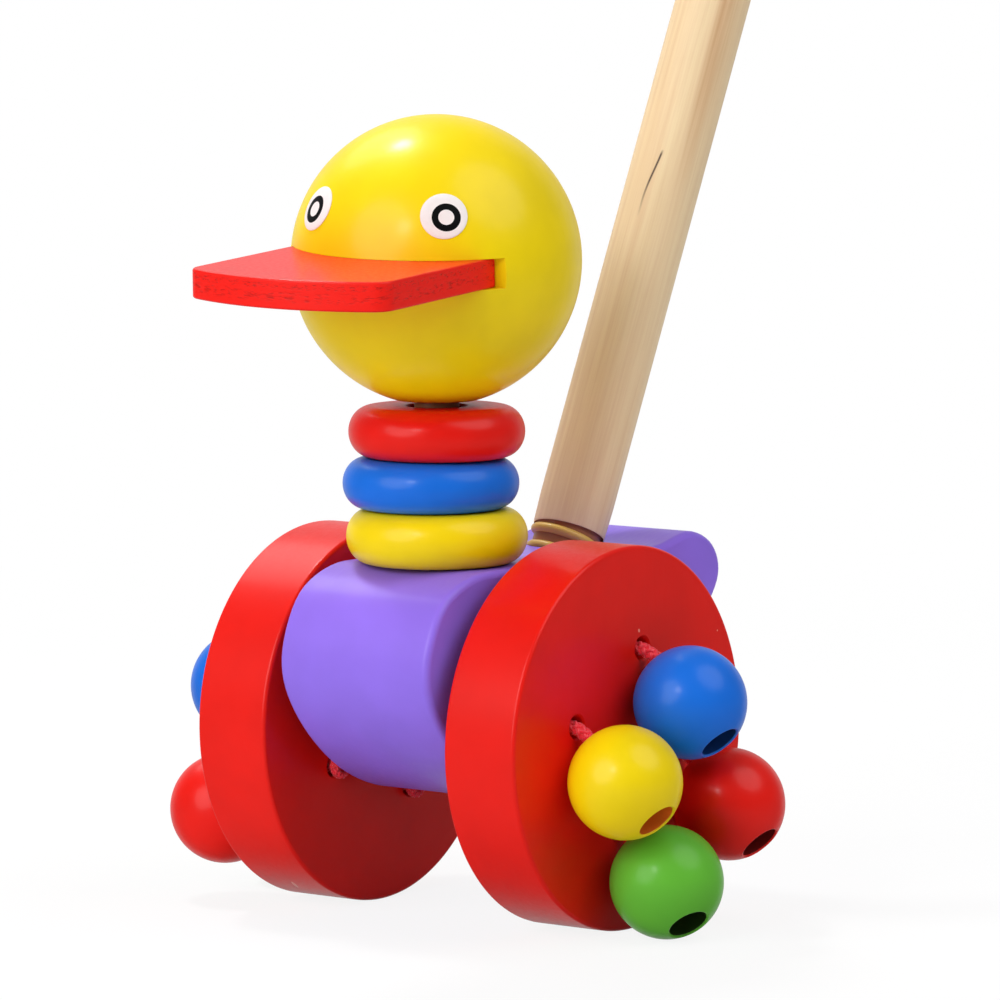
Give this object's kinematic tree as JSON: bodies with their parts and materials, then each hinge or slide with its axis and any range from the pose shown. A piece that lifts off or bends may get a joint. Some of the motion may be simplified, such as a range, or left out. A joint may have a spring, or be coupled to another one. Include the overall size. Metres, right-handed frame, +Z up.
{
  "type": "push toy",
  "caption": "Wheeled wooden duck push toy with a ball head, flat beak, loose neck rings, a long leaning dowel handle and coloured beads on cords that clack as it rolls.",
  "frame": {"origin": "on the floor, under the middle of the bounding box", "axes": "+Z up, -Y the way the duck looks, +X the duck's left side"},
  "size_m": [0.1113, 0.3018, 0.498],
  "materials": {
    "red_lacquer": "red satin lacquer on turned wood",
    "yellow_lacquer": "yellow satin lacquer on turned wood",
    "blue_lacquer": "blue satin lacquer on turned wood",
    "green_lacquer": "green satin lacquer on turned wood",
    "purple_lacquer": "violet satin lacquer on sawn board",
    "bare_wood": "sanded dowel, clear coat",
    "red_cord": "braided red cord",
    "eye_sticker": "white printed sticker with a black ring"
  },
  "bodies": {
    "duck": {"body": "purple_lacquer", "neck_peg": "bare_wood", "head": "yellow_lacquer", "beak": "red_lacquer", "eye_left": "eye_sticker", "eye_right": "eye_sticker", "handle": "bare_wood"},
    "wheels": {"axle": "bare_wood", "wheel_left": "red_lacquer", "wheel_right": "red_lacquer"},
    "ring_yellow": {"ring_yellow": "yellow_lacquer"},
    "ring_blue": {"ring_blue": "blue_lacquer"},
    "ring_red": {"ring_red": "red_lacquer"},
    "cord_left_blue": {"cord_left_blue": "red_cord"},
    "bead_left_blue": {"bead_left_blue": "blue_lacquer", "tail_left_blue": "red_cord"},
    "cord_left_yellow": {"cord_left_yellow": "red_cord"},
    "bead_left_yellow": {"bead_left_yellow": "yellow_lacquer", "tail_left_yellow": "red_cord"},
    "cord_left_green": {"cord_left_green": "red_cord"},
    "bead_left_green": {"bead_left_green": "green_lacquer", "tail_left_green": "red_cord"},
    "cord_left_red": {"cord_left_red": "red_cord"},
    "bead_left_red": {"bead_left_red": "red_lacquer", "tail_left_red": "red_cord"},
    "cord_right_yellow": {"cord_right_yellow": "red_cord"},
    "bead_right_yellow": {"bead_right_yellow": "yellow_lacquer", "tail_right_yellow": "red_cord"},
    "cord_right_blue": {"cord_right_blue": "red_cord"},
    "bead_right_blue": {"bead_right_blue": "blue_lacquer", "tail_right_blue": "red_cord"},
    "cord_right_red": {"cord_right_red": "red_cord"},
    "bead_right_red": {"bead_right_red": "red_lacquer", "tail_right_red": "red_cord"},
    "cord_right_green": {"cord_right_green": "red_cord"},
    "bead_right_green": {"bead_right_green": "green_lacquer", "tail_right_green": "red_cord"}
  },
  "joints": [
    {"name": "wheel_spin", "type": "hinge", "parent": "duck", "child": "wheels", "pos_m": [0, -0.08673, 0.034], "axis": [1, 0, 0], "continuous": true},
    {"name": "ring_yellow_spin", "type": "hinge", "parent": "duck", "child": "ring_yellow", "pos_m": [0, -0.09713, 0.0686], "axis": [0, 0, 1], "continuous": true},
    {"name": "ring_blue_spin", "type": "hinge", "parent": "duck", "child": "ring_blue", "pos_m": [-0.00084, -0.09776, 0.078], "axis": [0, 0, 1], "continuous": true},
    {"name": "ring_red_spin", "type": "hinge", "parent": "duck", "child": "ring_red", "pos_m": [0, -0.09713, 0.08715], "axis": [0, 0, 1], "continuous": true},
    {"name": "hang_left_blue", "type": "hinge", "parent": "wheels", "child": "cord_left_blue", "pos_m": [0.027, -0.08296, 0.0496], "axis": [1, 0, 0], "continuous": true},
    {"name": "lift_left_blue", "type": "hinge", "parent": "cord_left_blue", "child": "bead_left_blue", "pos_m": [0.0346, -0.08296, 0.0496], "axis": [0, -1, 0], "range_deg": [0, 12]},
    {"name": "hang_left_yellow", "type": "hinge", "parent": "wheels", "child": "cord_left_yellow", "pos_m": [0.027, -0.10233, 0.03777], "axis": [1, 0, 0], "continuous": true},
    {"name": "lift_left_yellow", "type": "hinge", "parent": "cord_left_yellow", "child": "bead_left_yellow", "pos_m": [0.0346, -0.10233, 0.03777], "axis": [0, -1, 0], "range_deg": [0, 12]},
    {"name": "hang_left_green", "type": "hinge", "parent": "wheels", "child": "cord_left_green", "pos_m": [0.027, -0.09051, 0.0184], "axis": [1, 0, 0], "continuous": true},
    {"name": "lift_left_green", "type": "hinge", "parent": "cord_left_green", "child": "bead_left_green", "pos_m": [0.0346, -0.09051, 0.0184], "axis": [0, -1, 0], "range_deg": [-2.46, 9.54]},
    {"name": "hang_left_red", "type": "hinge", "parent": "wheels", "child": "cord_left_red", "pos_m": [0.027, -0.07113, 0.03023], "axis": [1, 0, 0], "continuous": true},
    {"name": "lift_left_red", "type": "hinge", "parent": "cord_left_red", "child": "bead_left_red", "pos_m": [0.0346, -0.07113, 0.03023], "axis": [0, -1, 0], "range_deg": [0, 12]},
    {"name": "hang_right_yellow", "type": "hinge", "parent": "wheels", "child": "cord_right_yellow", "pos_m": [-0.0281, -0.07276, 0.0419], "axis": [1, 0, 0], "continuous": true},
    {"name": "lift_right_yellow", "type": "hinge", "parent": "cord_right_yellow", "child": "bead_right_yellow", "pos_m": [-0.0357, -0.07276, 0.0419], "axis": [0, 1, 0], "range_deg": [0, 12]},
    {"name": "hang_right_blue", "type": "hinge", "parent": "wheels", "child": "cord_right_blue", "pos_m": [-0.0281, -0.09464, 0.04797], "axis": [1, 0, 0], "continuous": true},
    {"name": "lift_right_blue", "type": "hinge", "parent": "cord_right_blue", "child": "bead_right_blue", "pos_m": [-0.0357, -0.09464, 0.04797], "axis": [0, 1, 0], "range_deg": [0, 12]},
    {"name": "hang_right_red", "type": "hinge", "parent": "wheels", "child": "cord_right_red", "pos_m": [-0.0281, -0.1007, 0.0261], "axis": [1, 0, 0], "continuous": true},
    {"name": "lift_right_red", "type": "hinge", "parent": "cord_right_red", "child": "bead_right_red", "pos_m": [-0.0357, -0.1007, 0.0261], "axis": [0, 1, 0], "range_deg": [0, 12]},
    {"name": "hang_right_green", "type": "hinge", "parent": "wheels", "child": "cord_right_green", "pos_m": [-0.0281, -0.07883, 0.02003], "axis": [1, 0, 0], "continuous": true},
    {"name": "lift_right_green", "type": "hinge", "parent": "cord_right_green", "child": "bead_right_green", "pos_m": [-0.0357, -0.07883, 0.02003], "axis": [0, 1, 0], "range_deg": [-0.11, 11.89]}
  ],
  "couplings": [
    {"joint": "hang_left_blue", "follows": "wheel_spin", "ratio": -1},
    {"joint": "hang_left_yellow", "follows": "wheel_spin", "ratio": -1},
    {"joint": "hang_left_green", "follows": "wheel_spin", "ratio": -1},
    {"joint": "hang_left_red", "follows": "wheel_spin", "ratio": -1},
    {"joint": "hang_right_yellow", "follows": "wheel_spin", "ratio": -1},
    {"joint": "hang_right_blue", "follows": "wheel_spin", "ratio": -1},
    {"joint": "hang_right_red", "follows": "wheel_spin", "ratio": -1},
    {"joint": "hang_right_green", "follows": "wheel_spin", "ratio": -1}
  ]
}
